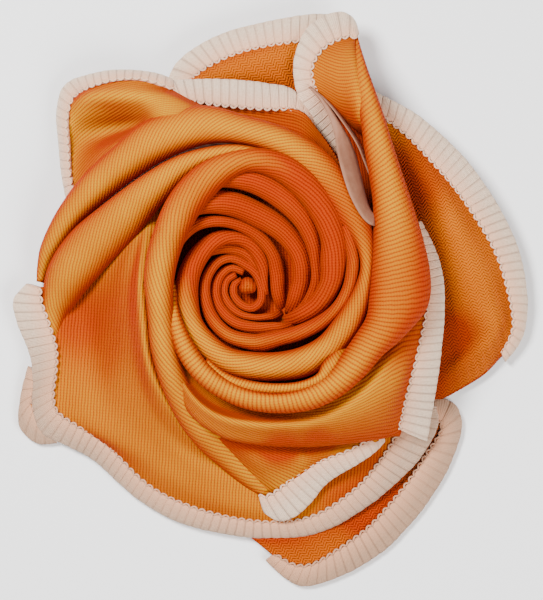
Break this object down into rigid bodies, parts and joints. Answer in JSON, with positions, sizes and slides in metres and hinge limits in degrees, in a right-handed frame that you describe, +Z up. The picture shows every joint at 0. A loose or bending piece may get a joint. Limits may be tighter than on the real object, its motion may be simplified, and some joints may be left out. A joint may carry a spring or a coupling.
{
  "type": "quick dry towel",
  "caption": "Small knitted quick dry towel with an overlocked edge and a blank care label, pinched at its middle and twisted into a rosette of folds and petals.",
  "frame": {"origin": "on the surface the towel lies on, under the middle of its outline", "axes": "+Z up, away from the surface; +Y along the rosette's longest extent, to the petal beside the care label"},
  "size_m": [0.156, 0.173, 0.0361],
  "materials": {
    "cloth": "fine orange knitted microfibre, ribbed face and twill-like back",
    "edging": "dense off-white overlock thread",
    "label": "blank white satin ribbon"
  },
  "bodies": {
    "root": {"cloth_heart": "cloth", "cloth_inner_wrap": "cloth", "cloth_outer_wrap": "cloth", "cloth_upper_fold": "cloth", "cloth_left_fold": "cloth", "cloth_right_fold": "cloth", "cloth_lower_wrap": "cloth", "cloth_lower_pleat": "cloth", "cloth_upper_left_petal": "cloth", "cloth_tucked_petal": "cloth", "cloth_top_petal": "cloth", "cloth_right_petal": "cloth", "cloth_lower_left_petal": "cloth", "cloth_back_petal": "cloth", "edging_left_side": "edging", "edging_upper_left": "edging", "edging_tucked": "edging", "edging_top": "edging", "edging_top_turnback": "edging", "edging_right": "edging", "edging_lower_wrap": "edging", "edging_lower_pleat": "edging", "edging_lower_side": "edging", "edging_lower_left": "edging", "edging_back": "edging", "edging_under_corner": "edging", "care_label": "label"}
  },
  "joints": []
}
